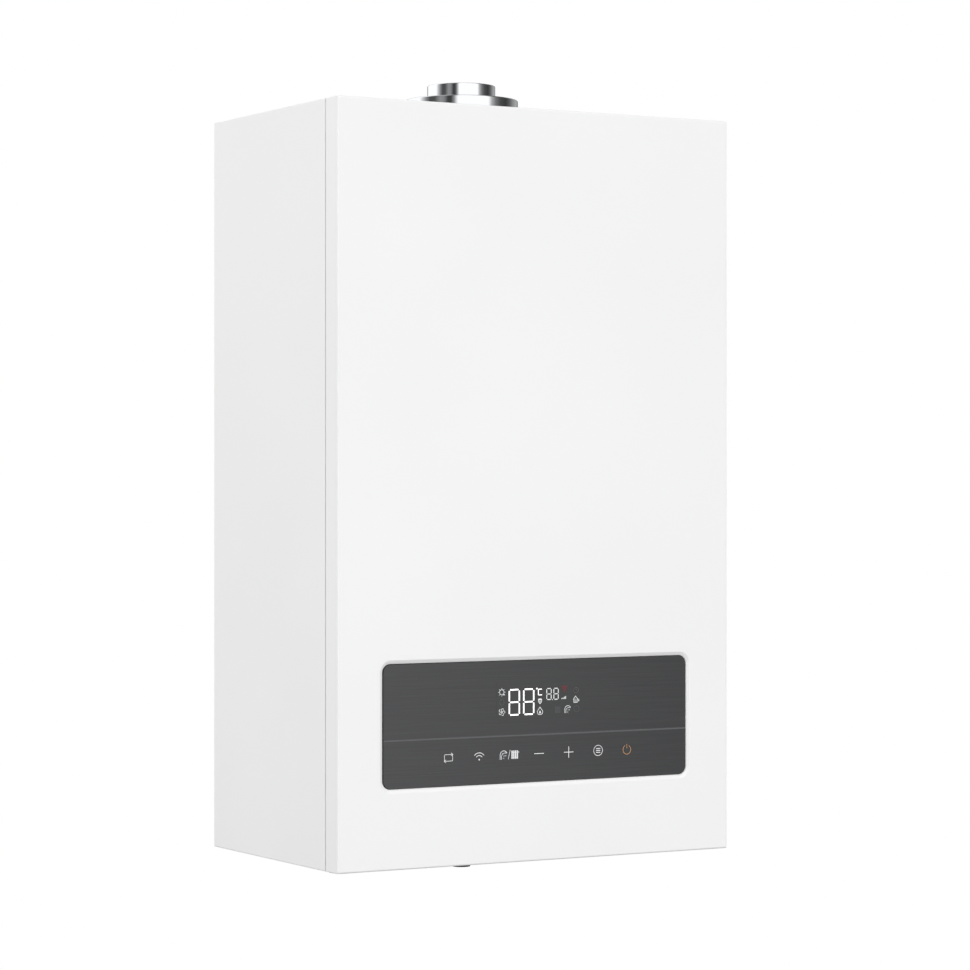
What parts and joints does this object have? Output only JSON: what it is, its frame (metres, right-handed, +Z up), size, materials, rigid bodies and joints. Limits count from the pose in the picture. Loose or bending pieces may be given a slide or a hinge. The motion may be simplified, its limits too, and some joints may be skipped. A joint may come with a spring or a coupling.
{
  "type": "combi boiler",
  "caption": "Wall-hung white combi boiler with a lift-off front cover, a tilting control box behind a dark touch glass and a chromed flue outlet.",
  "frame": {"origin": "middle of the wall bracket rear face, on the wall, 640 mm above the casing bottom", "axes": "+Y into the wall, -Y towards the front of the boiler, +Z up, +X to the right seen from the front"},
  "size_m": [0.422, 0.26, 0.756],
  "materials": {
    "white_enamel": "smooth satin powder coat on sheet steel",
    "galvanised": "zinc-coated folded sheet",
    "stainless": "fine brushed stainless steel",
    "panel_glass": "printed touch glass, dark grey with fine horizontal lines",
    "sight_glass": "clear heat-proof glass",
    "black_plastic": "moulded, fine grain",
    "grey_plastic": "moulded, fine grain",
    "circuit_board": "glass-fibre laminate with solder mask",
    "polished": "polished and plated",
    "blackened": "turned steel, blackened",
    "aluminium": "die cast and pressed",
    "copper": "drawn copper",
    "ceramic": "fired ceramic and fibre board",
    "brass": "machined brass",
    "red_plastic": "moulded",
    "blue_plastic": "moulded",
    "red_enamel": "red paint on pressed steel",
    "rubber": "silicone hose"
  },
  "bodies": {
    "root": {"air_pressure_switch": "grey_plastic", "back_panel": "galvanised", "bottom_panel": "galvanised", "burner": "stainless", "cable_gland": "black_plastic", "chamber_arm_left": "galvanised", "chamber_arm_right": "galvanised", "chamber_cover": "stainless", "cold_water_connection": "brass", "combustion_chamber": "stainless", "diverter_motor": "black_plastic", "expansion_vessel": "red_enamel", "fan_housing": "aluminium", "fan_motor": "black_plastic", "flame_sensor": "ceramic", "flow_block": "brass", "flue_collar": "polished", "flue_hood": "aluminium", "flue_spigot": "polished", "gas_connection": "blackened", "gas_pipe": "copper", "gas_valve": "aluminium", "heat_exchanger": "copper", "heating_flow_connection": "brass", "heating_flow_pipe": "copper", "heating_return_connection": "brass", "heating_return_pipe": "copper", "hinge_pin_left": "stainless", "hinge_pin_right": "stainless", "hot_water_connection": "brass", "ignition_electrodes": "ceramic", "insulation_liner": "ceramic", "nozzle_bar": "aluminium", "plate_heat_exchanger": "stainless", "pressure_hose": "rubber", "pump_housing": "brass", "pump_motor": "black_plastic", "return_block": "brass", "safety_valve": "brass", "side_panel_left": "white_enamel", "side_panel_right": "white_enamel", "sight_glass": "sight_glass", "top_panel": "white_enamel", "vessel_hose": "stainless", "wall_bracket": "galvanised"},
    "front_cover": {"front_cover": "white_enamel", "cover_screw_left": "stainless", "cover_screw_right": "stainless"},
    "control_unit": {"control_box": "grey_plastic", "control_box_lid": "grey_plastic", "main_board": "circuit_board", "display_board": "circuit_board", "panel_frame": "black_plastic", "panel_glass": "panel_glass"},
    "fan_impeller": {"fan_impeller": "aluminium"},
    "pump_impeller": {"pump_impeller": "black_plastic"},
    "flow_turbine": {"flow_turbine": "black_plastic"},
    "diverter_stem": {"diverter_stem": "stainless"},
    "safety_valve_knob": {"safety_valve_knob": "red_plastic"},
    "filling_tap_knob": {"filling_tap_knob": "blue_plastic"}
  },
  "joints": [
    {"name": "cover_slide", "type": "slide", "parent": "root", "child": "front_cover", "axis": [0, -1, 0], "range_m": [0, 0.3]},
    {"name": "control_tilt", "type": "hinge", "parent": "root", "child": "control_unit", "pos_m": [0, -0.24255, -0.6], "axis": [1, 0, 0], "range_deg": [0, 90]},
    {"name": "fan_spin", "type": "hinge", "parent": "root", "child": "fan_impeller", "pos_m": [0, -0.113, -0.024], "axis": [0, 1, 0], "continuous": true},
    {"name": "pump_spin", "type": "hinge", "parent": "root", "child": "pump_impeller", "pos_m": [0.13, -0.095, -0.51], "axis": [0, 1, 0], "continuous": true},
    {"name": "turbine_spin", "type": "hinge", "parent": "root", "child": "flow_turbine", "pos_m": [0.065, -0.113, -0.623], "axis": [0, 0, 1], "continuous": true},
    {"name": "diverter_travel", "type": "slide", "parent": "root", "child": "diverter_stem", "axis": [0, 0, -1], "range_m": [0, 0.008]},
    {"name": "safety_knob_turn", "type": "hinge", "parent": "root", "child": "safety_valve_knob", "pos_m": [0.072, -0.175, -0.596], "axis": [0, 1, 0], "range_deg": [0, 90]},
    {"name": "filling_tap_turn", "type": "hinge", "parent": "root", "child": "filling_tap_knob", "pos_m": [0.097, -0.113, -0.647], "axis": [0, 0, 1], "range_deg": [0, 180]}
  ],
  "couplings": [
    {"joint": "control_tilt", "follows": "cover_slide", "rad_per_m": 5.2359}
  ]
}
